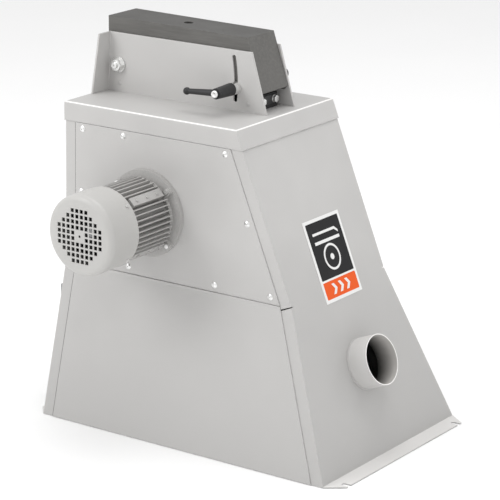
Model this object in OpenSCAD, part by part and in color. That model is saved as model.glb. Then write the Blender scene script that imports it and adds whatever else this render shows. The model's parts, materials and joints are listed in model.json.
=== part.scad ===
// Stand-mounted drum sander: a folded steel cabinet, an open sanding channel on
// its top and a flange motor on its front. X runs along the wide face, Y from the
// motor side to the rear, Z up. The origin is the centre of the base on the floor.

/* [Cabinet] */
// Height of the cap's top above the floor
body_h = 630; // [580:1:700]
// Width of the cabinet at the cap's top
top_w = 407; // [400:1:490]
// How far the left side leans out over the whole height
left_lean = 16; // [4:1:40]
// How far the right side slants out over the whole height
right_lean = 251; // [205:1:300]
// Depth of the upper part
body_d = 318; // [290:1:380]
// Height at which the front and rear start to flare out
kink_h = 308; // [270:1:340]
// How far the front and the rear flare out at the floor
flare = 73; // [40:1:100]
// Thickness of the cabinet's sheet
sheet_t = 2; // [1.5:0.1:2.5]
// Visible width of the sides' bent edges beside the panels
strip_w = 26; // [18:1:34]
// Width by which a panel lies on those bent edges
lap_w = 28; // [24:1:40]
// Seam between the upper panels and what is above and below them
seam = 1; // [0.6:0.1:2]

/* [Feet] */
// Width of the right foot flange
foot_right = 35; // [32:1:55]
// Width of the left foot flange
foot_left = 24; // [22:1:55]
// Length along Y of the slanted flange ends
foot_cut = 26; // [12:1:27]
// Width of the open fixing notches
notch_w = 10; // [8:0.5:12]
// Depth of the fixing notches
notch_l = 12; // [9:1:14]
// Distance between a flange's two notches
notch_pitch = 392; // [340:1:394]

/* [Cap] */
// Height of the cap's skirt
cap_h = 38; // [30:1:50]
// How far the rails behind the upper panels reach below the skirt
rail_drop = 24; // [18:1:40]
// Width of the rails' inner lips
rail_lip = 18; // [12:1:20]

/* [Panel screws] */
// Distance of the outer screws from the side faces
screw_in = 43; // [40:0.5:46]
// Distance of the upper screws below the cap's skirt
screw_down = 12; // [10:1:16]
// Height of the lower screws above the bend
screw_up = 12; // [10:1:20]
// Diameter of the screw heads
screw_head_d = 13; // [9:0.5:14]
// Shank diameter of the screws
screw_d = 4.8; // [4:0.1:5]

/* [Suction nozzle] */
// Outside diameter of the suction nozzle
nozzle_d = 100; // [80:1:110]
// Length that stands out of the right side
nozzle_l = 44; // [30:1:70]
// Wall of the nozzle
nozzle_t = 2; // [1.5:0.1:3]
// Height of the nozzle's centre
nozzle_z = 164; // [150:1:190]
// Rearward offset of the nozzle's centre
nozzle_y = 3; // [-20:1:20]

/* [Label] */
// Width of the label plate
label_w = 121; // [90:1:140]
// Height of the label plate along the slanted side
label_h = 162; // [120:1:180]
// Height of the label's centre above the floor
label_z = 362; // [340:1:390]
// Rearward offset of the label's centre
label_y = 8; // [-20:1:20]

/* [Sanding head] */
// Rearward offset of the channel's middle plane
head_y = 13; // [0:1:20]
// Clear width between the cheeks
channel_w = 88; // [86:1:100]
// Thickness of the cheeks
cheek_t = 4; // [3:0.5:5]
// Height of the cheeks above the cap
cheek_h = 118; // [112:1:130]
// Length of a cheek along the cap
cheek_l = 387; // [378:1:390]
// How far a cheek's left edge leans in
cheek_lean_l = 7; // [4:1:12]
// How far a cheek's right edge leans in
cheek_lean_r = 34; // [20:1:34]
// Width of the bent end flange at the bottom
end_flange_low = 50; // [40:1:60]
// Width of the bent end flange at the top
end_flange_high = 33; // [20:1:38]
// Distance of the hood's pivot from the cap's left edge
pivot_x = 34; // [30:1:45]
// Height of the hood's pivot above the cap
pivot_up = 54.5; // [50:0.5:60]
// Diameter of the pivot rod
pivot_d = 12; // [10:0.5:14]

/* [Hood] */
// Gap between the hood's skirts and the cheeks
hood_gap = 0.5; // [0.4:0.1:1]
// Sheet of the hood
hood_t = 2.5; // [2:0.1:3]
// Height of the hood's top above its pivot
hood_up = 93.6; // [86:0.1:100]
// Depth of the hood's skirts below its pivot
hood_down = 18; // [15:0.5:19]
// Length of the hood's top in front of its pivot
hood_reach = 306.6; // [300:0.1:312]
// Length of the hood behind its pivot
hood_tail = 29; // [22:0.5:32]
// Further reach of the end plate's lower edge
hood_slant = 36.4; // [30:0.1:40]
// Hood angle at rest, nose down
hood_rest = -0.8; // [-2:0.1:2]
// Diameter of the hole in the hood's top
hood_hole_d = 20; // [12:1:30]

/* [Hood clamps] */
// Distance of the clamp studs from the pivot
clamp_r = 284.5; // [278:0.5:286]
// Height of the studs below the pivot on the level hood
clamp_drop = 5.7; // [2:0.1:7]
// Diameter of the clamp studs
stud_d = 8; // [6:0.5:10]
// Side clearance of a stud in its arc slot
slot_gap = 0.5; // [0.3:0.1:1]
// Lowest swing of a stud in the slot, measured at the pivot
slot_low = -6.7; // [-7:0.1:-4]
// Highest swing of a stud in the slot, measured at the pivot
slot_high = 9.9; // [6:0.1:10.5]
// Diameter of the steel spacers
spacer_d = 25; // [20:0.5:28]
// Length of the steel spacers
spacer_l = 16; // [8:0.5:20]
// Length of a clamp handle's hub
hub_l = 52; // [42:1:56]
// Diameter of a clamp handle's hub at its foot
hub_d = 25; // [21:0.5:27]
// Reach of a clamp handle's arm
arm_l = 74; // [56:1:80]

/* [Sanding drum] */
// Diameter over the abrasive sleeve
drum_d = 250; // [200:1:252]
// Width of the drum
drum_w = 68; // [50:1:70]
// Distance of the drum's axis from the cap's left edge
drum_x = 225; // [215:1:230]
// Depth of the drum's axis below the cap's top
drum_drop = 56; // [50:1:62]
// Diameter of the drum's shaft
shaft_d = 25; // [20:0.5:28]
// Outer diameter of the shaft's bearings
bearing_d = 52; // [47:0.5:56]
// Width of the shaft's bearings
bearing_w = 15; // [12:0.5:18]
// Side of the square bearing housings
housing_s = 84; // [76:1:92]

/* [Belt drive] */
// Pitch diameter of the drum's pulley
drum_pulley_d = 80; // [70:1:84]
// Pitch diameter of the motor's pulley
motor_pulley_d = 71; // [60:1:84]
// Distance of the belt's middle from the panel's plane
belt_in = 26; // [24:1:32]
// Width of the belt
belt_w = 9.7; // [8:0.1:12]
// Height of the belt's section
belt_t = 8; // [6:0.5:10]

/* [Motor] */
// Distance of the motor's axis from the cap's left edge
motor_x = 200; // [180:1:220]
// Height of the motor's axis
motor_z = 438; // [430:1:450]
// Length of the motor in front of the panel
motor_l = 206; // [180:1:240]
// Diameter of the motor's flange
flange_d = 172; // [164:1:180]
// Thickness of the motor's flange
flange_t = 9; // [7:0.5:12]
// Diameter of the spigot in the panel
spigot_d = 110; // [95:1:112]
// Bolt circle of the flange
flange_pcd = 130; // [124:1:136]
// Diameter over the cooling fins
fins_d = 150; // [140:1:152]
// Diameter of the finned housing between the fins
frame_d = 120; // [114:1:130]
// Number of cooling fins around the housing
fin_count = 44; // [30:1:48]
// Thickness of a fin
fin_t = 2.4; // [1.8:0.1:3]
// Diameter of the fan cover
cover_d = 157; // [154:1:160]
// Length of the fan cover
cover_l = 79; // [66:1:86]
// Wall of the fan cover
cover_t = 2; // [1.5:0.1:2.5]
// Pitch of the square holes in the fan cover's end
grid_pitch = 10.8; // [9:0.1:12]
// Side of those square holes
grid_hole = 7.5; // [5:0.1:8]
// Diameter of the motor's shaft
motor_shaft_d = 19; // [14:0.5:22]

/* [Switch] */
// Height of the switch box's centre above the floor
switch_z = 165; // [140:1:200]
// Distance of the box's middle from the front edge of the upper part
switch_y = 90; // [84:1:140]
// Width of the switch box
switch_w = 80; // [70:1:100]
// Height of the switch box
switch_h = 130; // [110:1:150]
// Depth of the switch box
switch_d = 56; // [45:1:60]
// Travel of the push buttons
button_travel = 3; // [2:0.5:4]

/* [Hidden] */
$fn = 64;
far = 2000;                      // reach of cuts that pass right through
fit = 0.05;                      // radial running clearance
gap = 0.3;                       // clearance between curved faces of two bodies
base_w = top_w + left_lean + right_lean;
side_h = body_h - sheet_t;       // top of the side plates, under the cap's sheet
cap_z = body_h - cap_h;          // lower edge of the cap's skirt
cap_left = -base_w / 2 + left_lean;
left_angle = atan(left_lean / body_h);
right_angle = atan(right_lean / body_h);
edge_w = strip_w + lap_w;        // whole width of the sides' bent edges
crease_z = kink_h - 7;           // crease at the top of the lower panels
lower_top = kink_h - 2.5;        // upper edge of the lower panels
panel_low = lower_top + seam;    // lower edge of the upper panels
panel_high = cap_z - seam;       // upper edge of the upper panels
panel_lift = 0.5;                // gap between the lower panels and the floor
lip_h = 32;                      // height of the lower panels' screw lip
screw_low = kink_h + screw_up;   // heights of the panel screws
screw_high = cap_z - screw_down;
screw_mid = (screw_high + screw_low) / 2 + 3;
nozzle_neck = nozzle_d / 2 - 0.8; // radius of the nozzle where it passes the sheet
hole_gap = 0.2;                  // radial clearance of fasteners in sheet holes

cheek_x = cap_left + 2.5;        // left lower corner of the cheeks
cheek_out = channel_w / 2 + cheek_t;
pivot_at = [cap_left + pivot_x, body_h + pivot_up];
drum_at = [cap_left + drum_x, body_h - drum_drop];
// Half width of the cheeks' tabs and of the cap's mouth: clear of the drum there
tab_half = sqrt(pow(drum_d / 2, 2) - pow(drum_drop, 2)) + 8.25;
tab_drop = housing_s / 2 + 8;    // tab below the drum's axis
bracket_s = 30;                  // leg of the head's angle brackets
bracket_l = 54;                  // length of the angle brackets
bracket_mid = (tab_half + housing_s / 2) / 2;
bracket_bolt_step = 26;
mouth_x = drum_at[0] + tab_half + 7;  // left face of the upturned lip in the cap
lip_w = 60;                      // width of that lip
lip_up = 29;                     // height of that lip
flap_t = 4;                      // thickness of the rubber flap
flap_screw_y = 20.5;             // the flap's screws, each side of the middle
flap_screw_up = 17;              // their height above the cap
flap_holder_t = 1.5;             // thickness of the flap's backing strip

panel_y = -body_d / 2 - sheet_t; // outer face of the motor panel
belt_y = -body_d / 2 + belt_in;
motor_at = [cap_left + motor_x, motor_z];
shield_h = 8;                    // length of the motor's drive end shield
frame_z0 = flange_t + shield_h;  // start of the finned frame
cover_z0 = motor_l - cover_l;    // open edge of the fan cover
lug_a = 42;                      // angle of the corner lugs
pad_a = 46;                      // angle of the pads for bolted-on feet
lug_r = cover_d / 2 + 1.5;       // distance of the corner lugs' screws from the axis
motor_bearing_d = 40;
motor_bearing_w = 12;
stator_d = frame_d - 8;
rotor_d = 66;
core_l = 60;                     // length of the stator's and rotor's stacks
core_z = frame_z0 + 52;          // middle of the stacks
rear_shield_t = 12;
rear_shield_z = cover_z0 + 4;
terminal_x = 70;                 // seat of the terminal box from the axis
terminal_up = 42;                // how far the terminal box reaches beyond that
terminal_w = 54;                 // size of the terminal box across the axis
terminal_l = 84;                 // size of the terminal box along the axis
terminal_z0 = 38;                // start of the terminal box along the motor
terminal_gland_out = 19;         // the gland's distance from the box's seat
gland_d = 22;
gland_l = 28;
switch_at_y = -body_d / 2 + switch_y;
button_step = 44;                // distance between the two push buttons
button_d = 24;
switch_gland_down = 36;          // the gland's distance below the box's middle
switch_gland_out = 40;           // the gland's distance from the left side

// ---- shapes that several parts share ----

function left_x(z) = -base_w / 2 + left_lean * z / body_h;
function right_x(z) = base_w / 2 - right_lean * z / body_h;
function front_y(z) = -body_d / 2 - flare * max(0, (kink_h - z) / kink_h);

// Extrudes an outline drawn in X and Z from y0 to y1
module along_y(y0, y1) {
    translate([0, y1, 0]) rotate([90, 0, 0]) linear_extrude(y1 - y0) children();
}

// Extrudes an outline drawn in Y and Z from x0 to x1
module along_x(x0, x1) {
    translate([x0, 0, 0]) rotate([90, 0, 90]) linear_extrude(x1 - x0) children();
}

// Cylinder along Y through the point at = [x, z]
module rod_y(at, y0, y1, d) {
    translate([at[0], y1, at[1]]) rotate([90, 0, 0]) cylinder(h = y1 - y0, d = d);
}

// Outline in Y and Z of a front sheet, between two offsets outwards
module front_outline(z0, z1, inner, outer) {
    heights = z0 < kink_h && z1 > kink_h ? [z0, kink_h, z1] : [z0, z1];
    n = len(heights);
    polygon(concat(
        [for (z = heights) [front_y(z) - outer, z]],
        [for (i = [n - 1:-1:0]) [front_y(heights[i]) - inner, heights[i]]]));
}

// Outline in X and Z between the two side faces, moved in on the left and right
module width_outline(z0, z1, in_left, in_right) {
    polygon([[left_x(z0) + in_left, z0], [right_x(z0) - in_right, z0],
             [right_x(z1) - in_right, z1], [left_x(z1) + in_left, z1]]);
}

// A sheet on the front of the cabinet, clipped to the width between the sides
module front_sheet(z0, z1, inner, outer, in_left, in_right) {
    intersection() {
        along_x(-far, far) front_outline(z0, z1, inner, outer);
        along_y(-far, 0) width_outline(z0, z1, in_left, in_right);
    }
}

// Outline in Y and Z of the whole cabinet, moved in all round
module depth_outline(z0, z1, in_y) {
    heights = z0 < kink_h && z1 > kink_h ? [z0, kink_h, z1] : [z0, z1];
    n = len(heights);
    polygon(concat(
        [for (z = heights) [front_y(z) + in_y, z]],
        [for (i = [n - 1:-1:0]) [-front_y(heights[i]) - in_y, heights[i]]]));
}

// Places children on the right side's face, outward along their Z, down along X
module on_right(y, z) {
    translate([right_x(z), y, z]) rotate([0, 90 - right_angle, 0]) children();
}

// Places children on the left side's face, outward along their Z, up along X
module on_left(y, z) {
    translate([left_x(z), y, z]) rotate([0, left_angle - 90, 0]) children();
}

// Panel screws' places, in X and Z
function panel_screw_places() = [
    [left_x(screw_high) + screw_in, screw_high],
    [cap_left + 142, screw_high],
    [right_x(screw_high) - screw_in, screw_high],
    [left_x(screw_mid) + screw_in - 3, screw_mid],
    [right_x(screw_mid) - screw_in, screw_mid],
    [left_x(screw_low) + screw_in, screw_low],
    [cap_left + 150, screw_low],
    [cap_left + 358, screw_low],
    [right_x(screw_low) - screw_in, screw_low]
];

// Holes for the panel screws in anything on the front
module panel_screw_holes() {
    for (p = panel_screw_places())
        rod_y(p, -body_d / 2 - 10, -body_d / 2 + 10, screw_d + 2 * hole_gap);
}

// ---- cabinet ----

// Open notch in a foot flange, drawn from the flange's outer edge inwards
module foot_notch() {
    translate([-notch_l, 0, 0]) circle(d = notch_w);
    translate([-notch_l, -notch_w / 2]) square([notch_l + 1, notch_w]);
}

// Foot flange that points along +X from x = 0, centred on Y
module foot_flange(foot_w) {
    half = -front_y(0);
    linear_extrude(sheet_t) difference() {
        polygon([[-1, -half], [0, -half], [foot_w, foot_cut - half],
                 [foot_w, half - foot_cut], [0, half], [-1, half]]);
        for (s = [-1, 1]) translate([foot_w, s * notch_pitch / 2]) foot_notch();
    }
}

// One leaning side with its bent front and rear edges; dir is 1 right, -1 left
module side_body(dir) {
    difference() {
        union() {
            intersection() {
                along_y(-far, far)
                    if (dir > 0) polygon([[right_x(0) - sheet_t, 0], [right_x(0), 0],
                        [right_x(side_h), side_h], [right_x(side_h) - sheet_t, side_h]]);
                    else polygon([[left_x(0), 0], [left_x(0) + sheet_t, 0],
                        [left_x(side_h) + sheet_t, side_h], [left_x(side_h), side_h]]);
                along_x(-far, far) depth_outline(0, side_h, 0);
            }
            for (m = [0, 1]) mirror([0, m, 0]) intersection() {
                along_x(-far, far) front_outline(0, side_h, -sheet_t, 0);
                along_y(-far, 0)
                    if (dir > 0) polygon([[right_x(0) - edge_w, 0], [right_x(0), 0],
                        [right_x(side_h), side_h], [right_x(side_h) - edge_w, side_h]]);
                    else polygon([[left_x(0), 0], [left_x(0) + edge_w, 0],
                        [left_x(side_h) + edge_w, side_h], [left_x(side_h), side_h]]);
            }
            translate([dir > 0 ? right_x(0) : left_x(0), 0, 0])
                mirror([dir > 0 ? 0 : 1, 0, 0])
                    foot_flange(dir > 0 ? foot_right : foot_left);
        }
        for (m = [0, 1]) mirror([0, m, 0]) {
            panel_screw_holes();
            relief_slit(dir);
        }
    }
}

// Slit where the bent edge changes direction at the flare
module relief_slit(dir) {
    translate([dir > 0 ? right_x(kink_h) : left_x(kink_h), 0, kink_h])
        rotate([0, dir > 0 ? -right_angle : left_angle, 0])
            along_x(-strip_w, strip_w)
                polygon([[-body_d / 2 - 3, -1.6], [-body_d / 2 + 7, 0],
                         [-body_d / 2 - 3, 1.6]]);
}

module left_side() {
    color("gainsboro") difference() {
        side_body(-1);
        on_left(switch_at_y, switch_z)
            for (s = [-1, 1]) translate([s * 50, 0, -5]) cylinder(h = 10, d = 5.4);
    }
}

module right_side() {
    color("gainsboro") difference() {
        side_body(1);
        on_right(nozzle_y, nozzle_z)
            translate([0, 0, -20]) cylinder(h = 40, d = nozzle_d + 2 * gap);
    }
}

// Lower panel on the front, with a lip behind the upper panel
module lower_panel() {
    difference() {
        union() {
            front_sheet(panel_lift, crease_z, 0, sheet_t, strip_w, strip_w);
            intersection() {
                along_x(-far, far) polygon([
                    [front_y(crease_z) - sheet_t, crease_z],
                    [-body_d / 2 + sheet_t, crease_z],
                    [-body_d / 2 + sheet_t, lower_top],
                    [front_y(crease_z) - sheet_t, lower_top]]);
                along_y(-far, 0) width_outline(crease_z, lower_top, edge_w, edge_w);
            }
            intersection() {
                along_x(-far, far) polygon([
                    [front_y(crease_z) - sheet_t, crease_z],
                    [front_y(crease_z), crease_z], [front_y(lower_top), lower_top],
                    [front_y(crease_z) - sheet_t, lower_top]]);
                along_y(-far, 0) width_outline(crease_z, lower_top, strip_w, strip_w);
            }
            front_sheet(lower_top, kink_h + lip_h, -sheet_t, 0, edge_w, edge_w);
        }
        panel_screw_holes();
    }
}

module front_lower_panel() {
    color("gainsboro") lower_panel();
}

module rear_lower_panel() {
    color("gainsboro") mirror([0, 1, 0]) lower_panel();
}

// Flat upper panel on the front, screwed on all round
module upper_panel() {
    difference() {
        front_sheet(kink_h, panel_high, 0, sheet_t, strip_w, strip_w);
        panel_screw_holes();
    }
    intersection() {
        along_x(-far, far) polygon([
            [-body_d / 2 - sheet_t, panel_low], [front_y(panel_low), panel_low],
            [-body_d / 2, kink_h], [-body_d / 2 - sheet_t, kink_h]]);
        along_y(-far, 0) width_outline(panel_low, kink_h, strip_w, strip_w);
    }
}

module motor_panel() {
    color("gainsboro") difference() {
        upper_panel();
        rod_y(motor_at, panel_y - 1, panel_y + 10, spigot_d + 2 * gap);
        for (a = [45:90:315])
            rod_y(motor_at + flange_pcd / 2 * [cos(a), sin(a)],
                  panel_y - 1, panel_y + 10, 8 + 2 * hole_gap);
    }
}

module rear_upper_panel() {
    color("gainsboro") mirror([0, 1, 0]) upper_panel();
}

// Angle between the sides, behind an upper panel's top edge
module rail() {
    difference() {
        union() {
            front_sheet(cap_z - rail_drop, side_h, -sheet_t, 0, edge_w, edge_w);
            intersection() {
                translate([-far, -body_d / 2, side_h - sheet_t])
                    cube([2 * far, rail_lip, sheet_t]);
                along_y(-far, 0) width_outline(side_h - sheet_t, side_h, edge_w, edge_w);
            }
        }
        panel_screw_holes();
    }
}

module front_rail() {
    color("silver") rail();
}

module rear_rail() {
    color("silver") mirror([0, 1, 0]) rail();
}

// Outline of the cap in X and Z, moved in by in_t, with its bends rounded
module cap_outline(in_t, bend, z_low) {
    z_top = body_h - in_t;
    out = sheet_t + gap - in_t;
    x_right = right_x(z_top) + out;
    x_left = left_x(z_top) - out;
    pull_right = bend * tan((90 - right_angle) / 2);
    pull_left = bend * tan((90 - left_angle) / 2);
    steps = 6;
    polygon(concat(
        [[left_x(z_low) - out, z_low], [right_x(z_low) + out, z_low]],
        [for (i = [0:steps]) let (a = right_angle + (90 - right_angle) * i / steps)
            [x_right - pull_right + bend * cos(a), z_top - bend + bend * sin(a)]],
        [for (i = [0:steps]) let (a = 90 + (90 - left_angle) * i / steps)
            [x_left + pull_left + bend * cos(a), z_top - bend + bend * sin(a)]]));
}

// Outline of the cap in Y and Z, moved in by in_t, with its bends rounded
module cap_depth_outline(in_t, bend, z_low) {
    half = body_d / 2 + sheet_t + gap - in_t;
    z_top = body_h - in_t;
    steps = 6;
    polygon(concat([[-half, z_low], [half, z_low]],
        [for (i = [0:steps]) let (a = 90 * i / steps)
            [half - bend + bend * cos(a), z_top - bend + bend * sin(a)]],
        [for (i = [0:steps]) let (a = 90 + 90 * i / steps)
            [bend - half + bend * cos(a), z_top - bend + bend * sin(a)]]));
}

module cap_block(in_t, bend, z_low) {
    intersection() {
        along_y(-far, far) cap_outline(in_t, bend, z_low);
        along_x(-far, far) cap_depth_outline(in_t, bend, z_low);
    }
}

module top_cap() {
    slot_half = cheek_out + hole_gap;
    color("gainsboro") difference() {
        union() {
            difference() {
                cap_block(0, 4, cap_z);
                cap_block(sheet_t, gap, cap_z - 1);
            }
            translate([mouth_x, head_y - lip_w / 2, side_h])
                cube([sheet_t, lip_w, lip_up + sheet_t]);
        }
        translate([drum_at[0] - tab_half - hole_gap, head_y - slot_half, side_h - 1])
            cube([mouth_x - drum_at[0] + tab_half + hole_gap, 2 * slot_half, sheet_t + 2]);
        for (s = [-1, 1]) flap_screw_hole(s);
    }
}

module flap_screw_hole(s) {
    translate([mouth_x - 5, head_y + s * flap_screw_y, body_h + flap_screw_up])
        rotate([0, 90, 0]) cylinder(h = 30, d = 8 + 2 * hole_gap);
}

module floor_pan() {
    pan_z = 12;
    pan_h = 30;
    color("silver") difference() {
        intersection() {
            along_y(-far, far) width_outline(pan_z, pan_z + pan_h, sheet_t, sheet_t);
            along_x(-far, far) depth_outline(pan_z, pan_z + pan_h, sheet_t);
        }
        intersection() {
            along_y(-far, far)
                width_outline(pan_z + sheet_t, pan_z + pan_h + 1, 2 * sheet_t, 2 * sheet_t);
            along_x(-far, far)
                depth_outline(pan_z + sheet_t, pan_z + pan_h + 1, 2 * sheet_t);
        }
    }
}

module suction_nozzle() {
    color("gainsboro") on_right(nozzle_y, nozzle_z)
        translate([0, 0, -2 * sheet_t * cos(right_angle)]) rotate_extrude()
            polygon([
                [nozzle_d / 2 - nozzle_t, 0], [nozzle_d / 2 + 14, 0],
                [nozzle_d / 2 + 14, sheet_t * cos(right_angle)],
                [nozzle_neck, sheet_t * cos(right_angle)],
                [nozzle_neck, 2 * sheet_t * cos(right_angle)],
                [nozzle_d / 2, 2 * sheet_t * cos(right_angle)],
                [nozzle_d / 2, nozzle_l + 2 * sheet_t * cos(right_angle)],
                [nozzle_d / 2 - nozzle_t, nozzle_l + 2 * sheet_t * cos(right_angle)]]);
}

module label_plate() {
    color("white") on_right(label_y, label_z)
        translate([-label_h / 2, -label_w / 2, 0]) cube([label_h, label_w, 0.8]);
}

// Button-head screw along Y with its head's seat at y, pointing to the rear
module panel_screw(p) {
    head_h = 2.8;
    translate([p[0], panel_y, p[1]]) rotate([90, 0, 0]) {
        difference() {
            intersection() {
                translate([0, 0, -screw_head_d * 0.45]) sphere(d = screw_head_d * 1.36);
                cylinder(h = head_h, d = screw_head_d);
            }
            translate([0, 0, 1.2]) cylinder(h = head_h, d = 3.4, $fn = 6);
        }
        translate([0, 0, -9]) cylinder(h = 9.5, d = screw_d);
    }
}

module panel_screws() {
    color("silver") for (m = [0, 1]) mirror([0, m, 0])
        for (p = panel_screw_places()) panel_screw(p);
}

// ---- sanding head ----

// Places children in the head's own frame: its middle plane at y = 0
module in_head() {
    translate([0, head_y, 0]) children();
}

// Arc slot for a clamp stud, drawn in X and Z about the pivot
module arc_slot() {
    half = stud_d / 2 + slot_gap;
    reach = norm([clamp_r, clamp_drop]);
    translate(pivot_at) {
        intersection() {
            difference() {
                circle(r = reach + half, $fn = 180);
                circle(r = reach - half, $fn = 180);
            }
            polygon([[0, 0], 2 * clamp_r * [cos(slot_low), sin(slot_low)],
                     2 * clamp_r * [cos(slot_high), sin(slot_high)]]);
        }
        for (a = [slot_low, slot_high])
            translate(reach * [cos(a), sin(a)]) circle(r = half);
    }
}

module cheek_outline() {
    low_left = cheek_x;
    polygon([
        [low_left, body_h],
        [drum_at[0] - tab_half, body_h],
        [drum_at[0] - tab_half, drum_at[1] - tab_drop],
        [drum_at[0] + tab_half, drum_at[1] - tab_drop],
        [drum_at[0] + tab_half, body_h],
        [low_left + cheek_l, body_h],
        [low_left + cheek_l - cheek_lean_r, body_h + cheek_h],
        [low_left + cheek_lean_l, body_h + cheek_h]]);
}

// The front cheek, with its end flange bent to the front
module cheek() {
    difference() {
        union() {
            along_y(-cheek_out, -channel_w / 2) cheek_outline();
            end_flange();
        }
        along_y(-far, far) arc_slot();
        rod_y(pivot_at, -far, far, pivot_d + 2 * hole_gap);
        rod_y(drum_at, -far, far, shaft_d + 14);
        for (x = [-1, 1], z = [-1, 1])
            rod_y(drum_at + (housing_s / 2 - 11) * [x, z], -far, far, 8 + 2 * hole_gap);
        for (p = bracket_bolt_places()) rod_y(p, -far, far, 8 + 2 * hole_gap);
    }
}

// End flange of the front cheek: it narrows towards the top
module end_flange() {
    intersection() {
        along_y(-far, -channel_w / 2) polygon([
            [cheek_x, body_h], [cheek_x + cheek_t, body_h],
            [cheek_x + cheek_t + cheek_lean_l, body_h + cheek_h],
            [cheek_x + cheek_lean_l, body_h + cheek_h]]);
        along_x(-far, far) polygon([
            [-channel_w / 2, body_h], [-cheek_out - end_flange_low, body_h],
            [-cheek_out - end_flange_high, body_h + cheek_h],
            [-channel_w / 2, body_h + cheek_h]]);
    }
}

module front_cheek() {
    color("gainsboro") in_head() cheek();
}

module rear_cheek() {
    color("gainsboro") in_head() mirror([0, 1, 0]) cheek();
}

function bracket_bolt_places() = [
    for (side = [-1, 1], k = [-1, 1])
        [drum_at[0] + side * bracket_mid + k * bracket_bolt_step / 2,
         side_h - bracket_s / 2 - 2]
];

// Angle brackets that hold the cheeks' tabs under the cap
module head_brackets() {
    color("silver") in_head()
        for (m = [0, 1], side = [-1, 1]) mirror([0, m, 0]) difference() {
            translate([drum_at[0] + side * bracket_mid - bracket_l / 2, 0, 0])
                along_x(0, bracket_l) polygon([
                    [-cheek_out, side_h], [-cheek_out - bracket_s, side_h],
                    [-cheek_out - bracket_s, side_h - cheek_t],
                    [-cheek_out - cheek_t, side_h - cheek_t],
                    [-cheek_out - cheek_t, side_h - bracket_s],
                    [-cheek_out, side_h - bracket_s]]);
            for (p = bracket_bolt_places()) rod_y(p, -far, far, 8 + 2 * hole_gap);
        }
}

// Bolt and nut through a stack between y0 and y1, with a low head at y1
module through_bolt(p, y0, y1) {
    rod_y(p, y0 - 3, y1 + 1, 8);
    rod_y(p, y1, y1 + 3.5, 14);
    translate([p[0], y0, p[1]]) rotate([90, 0, 0]) cylinder(h = 6.5, d = 15, $fn = 6);
}

module bracket_bolts() {
    color("silver") in_head() for (m = [0, 1]) mirror([0, m, 0])
        for (p = bracket_bolt_places())
            through_bolt(p, -cheek_out - cheek_t, -channel_w / 2);
}

module rubber_flap() {
    color("dimgray") difference() {
        translate([mouth_x + sheet_t, head_y - lip_w / 2 - 2, body_h])
            cube([flap_t, lip_w + 4, lip_up]);
        for (s = [-1, 1]) flap_screw_hole(s);
    }
}

module flap_strip() {
    color("dimgray") difference() {
        translate([mouth_x + sheet_t + flap_t, head_y - lip_w / 2 + 2,
                   body_h + flap_screw_up - 9])
            cube([flap_holder_t, lip_w - 4, 18]);
        for (s = [-1, 1]) flap_screw_hole(s);
    }
}

module flap_screws() {
    strip_face = sheet_t + flap_t + flap_holder_t;
    color("silver") for (s = [-1, 1])
        translate([mouth_x, head_y + s * flap_screw_y, body_h + flap_screw_up])
            rotate([0, 90, 0]) {
                translate([0, 0, -6.5]) cylinder(h = 6.5, d = 15, $fn = 6);
                translate([0, 0, -1]) cylinder(h = strip_face + 2, d = 8);
                translate([0, 0, strip_face]) cylinder(h = 1.2, d = 15.5);
                translate([0, 0, strip_face + 1]) cylinder(h = 5.3, d = 15, $fn = 6);
            }
}

// ---- drum and its bearings ----

// Places children on the drum's axis, Z to the front, z = 0 at the middle plane
module on_drum_axis() {
    translate([drum_at[0], head_y, drum_at[1]]) rotate([90, 0, 0]) children();
}

housing_h = 24;
bearing_z = cheek_out + housing_h - bearing_w - 2;
shaft_front = head_y - belt_y + 12;
shaft_rear = cheek_out + housing_h + 2;
drum_clamp_t = 5;

module bearing_housings() {
    color("slategray") on_drum_axis() for (m = [0, 1]) mirror([0, 0, m])
        difference() {
            union() {
                translate([-housing_s / 2, -housing_s / 2, cheek_out])
                    cube([housing_s, housing_s, 9]);
                translate([0, 0, cheek_out]) cylinder(h = housing_h, d = bearing_d + 16);
            }
            translate([0, 0, bearing_z]) cylinder(h = far, d = bearing_d + 2 * fit);
            translate([0, 0, -1]) cylinder(h = far, d = bearing_d - 8);
            for (x = [-1, 1], y = [-1, 1])
                translate([x, y, 0] * (housing_s / 2 - 11))
                    cylinder(h = far, d = 8 + 2 * hole_gap);
        }
}

// A ball bearing along Z with its rings and ball track as one ring
module ball_bearing(outer_d, bore_d, w) {
    track = 0.8;
    ring = (outer_d - bore_d) / 8;
    rotate_extrude() polygon([
        [bore_d / 2, 0], [bore_d / 2 + ring, 0], [bore_d / 2 + ring, track],
        [outer_d / 2 - ring, track], [outer_d / 2 - ring, 0], [outer_d / 2, 0],
        [outer_d / 2, w], [outer_d / 2 - ring, w], [outer_d / 2 - ring, w - track],
        [bore_d / 2 + ring, w - track], [bore_d / 2 + ring, w], [bore_d / 2, w]]);
}

module drum_bearings() {
    color("silver") on_drum_axis() for (m = [0, 1]) mirror([0, 0, m])
        translate([0, 0, bearing_z]) ball_bearing(bearing_d, shaft_d + 2 * fit, bearing_w);
}

module housing_bolts() {
    color("silver") in_head() for (m = [0, 1]) mirror([0, m, 0])
        for (x = [-1, 1], z = [-1, 1])
            through_bolt(drum_at + (housing_s / 2 - 11) * [x, z],
                         -cheek_out - 9, -channel_w / 2);
}

module drum_shaft() {
    color("silver") on_drum_axis() {
        translate([0, 0, -shaft_rear]) cylinder(h = shaft_rear + shaft_front, d = shaft_d);
        translate([0, 0, -drum_w / 2 - 1]) cylinder(h = 3, d = shaft_d + 8);
    }
}

cushion_t = 10;
sleeve_t = 2;
core_d = drum_d - 2 * (cushion_t + sleeve_t);

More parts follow.
